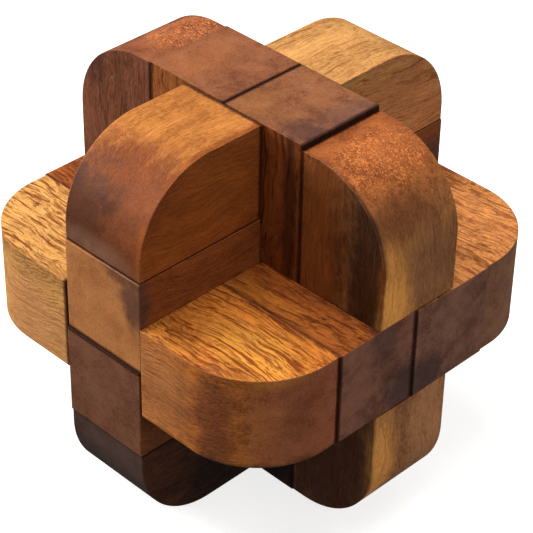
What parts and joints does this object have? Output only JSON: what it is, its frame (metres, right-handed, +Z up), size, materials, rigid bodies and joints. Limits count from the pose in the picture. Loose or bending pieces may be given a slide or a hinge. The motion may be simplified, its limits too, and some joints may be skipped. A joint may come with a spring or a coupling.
{
  "type": "wooden burr puzzle",
  "caption": "Interlocking wooden burr puzzle shaped like a ball of crossed square plates; notched bars with quarter-round blocks that come apart only when all are drawn out together.",
  "frame": {"origin": "middle of the footprint, on the surface the puzzle stands on", "axes": "+Z up along the two uprights, +X along the two rails, +Y along the two beams, towards the back"},
  "size_m": [0.08, 0.08, 0.08],
  "materials": {
    "top_beam_wood": "oiled, satin",
    "bottom_beam_wood": "oiled, satin",
    "rail_wood": "oiled, satin",
    "upright_wood": "oiled, satin",
    "umber_wood": "oiled, satin",
    "russet_wood": "oiled, satin",
    "amber_wood": "oiled, satin",
    "honey_wood": "oiled, satin"
  },
  "bodies": {
    "bottom_piece": {"bottom_beam": "bottom_beam_wood", "bottom_beam_front_block": "umber_wood", "bottom_beam_back_block": "umber_wood"},
    "top_piece": {"top_beam": "top_beam_wood", "top_beam_front_block": "amber_wood", "top_beam_back_block": "honey_wood"},
    "front_piece": {"front_rail": "rail_wood", "front_rail_left_block": "honey_wood", "front_rail_right_block": "amber_wood"},
    "back_piece": {"back_rail": "rail_wood", "back_rail_left_block": "honey_wood", "back_rail_right_block": "amber_wood"},
    "left_piece": {"left_upright": "upright_wood", "left_upright_upper_block": "russet_wood", "left_upright_lower_block": "amber_wood"},
    "right_piece": {"right_upright": "upright_wood", "right_upright_upper_block": "amber_wood", "right_upright_lower_block": "amber_wood"}
  },
  "joints": [
    {"name": "top_lift", "type": "slide", "parent": "bottom_piece", "child": "top_piece", "axis": [0, 0, 1], "range_m": [0, 0.06]},
    {"name": "right_draw", "type": "slide", "parent": "bottom_piece", "child": "right_piece", "axis": [0.7071, 0, 0.7071], "range_m": [0, 0.0425]},
    {"name": "left_draw", "type": "slide", "parent": "bottom_piece", "child": "left_piece", "axis": [-0.7071, 0, 0.7071], "range_m": [0, 0.0425]},
    {"name": "front_draw", "type": "slide", "parent": "bottom_piece", "child": "front_piece", "axis": [0, -0.7071, 0.7071], "range_m": [0, 0.0425]},
    {"name": "back_draw", "type": "slide", "parent": "bottom_piece", "child": "back_piece", "axis": [0, 0.7071, 0.7071], "range_m": [0, 0.0425]}
  ],
  "couplings": [
    {"joint": "right_draw", "follows": "top_lift", "ratio": 0.70711},
    {"joint": "left_draw", "follows": "top_lift", "ratio": 0.70711},
    {"joint": "front_draw", "follows": "top_lift", "ratio": 0.70711},
    {"joint": "back_draw", "follows": "top_lift", "ratio": 0.70711}
  ]
}
